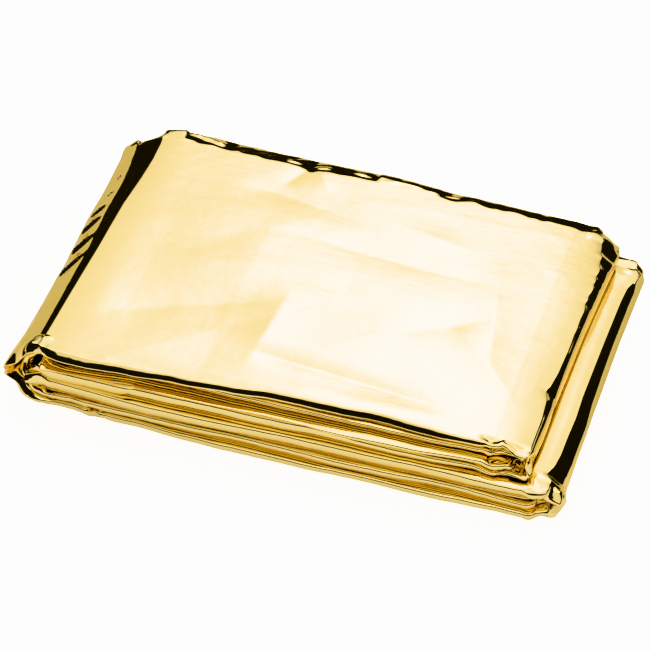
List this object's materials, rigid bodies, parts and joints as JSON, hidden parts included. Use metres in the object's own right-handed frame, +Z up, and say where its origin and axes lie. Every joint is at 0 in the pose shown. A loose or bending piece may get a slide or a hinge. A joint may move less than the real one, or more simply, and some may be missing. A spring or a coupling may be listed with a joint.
{
  "type": "folded emergency foil blanket",
  "caption": "Thin gold metallised film blanket, pleated across its width and folded along its length into a flat rectangular packet.",
  "frame": {"origin": "middle of the packet's bottom, on the surface it lies on", "axes": "+X along the packet from the full-height wrap to the stepped turns, +Y to its back, +Z up"},
  "size_m": [0.1378, 0.0899, 0.0214],
  "materials": {
    "gold_foil": "mirror-bright gold metallised film, softly creased"
  },
  "bodies": {
    "root": {"foil_blanket": "gold_foil"}
  },
  "joints": []
}
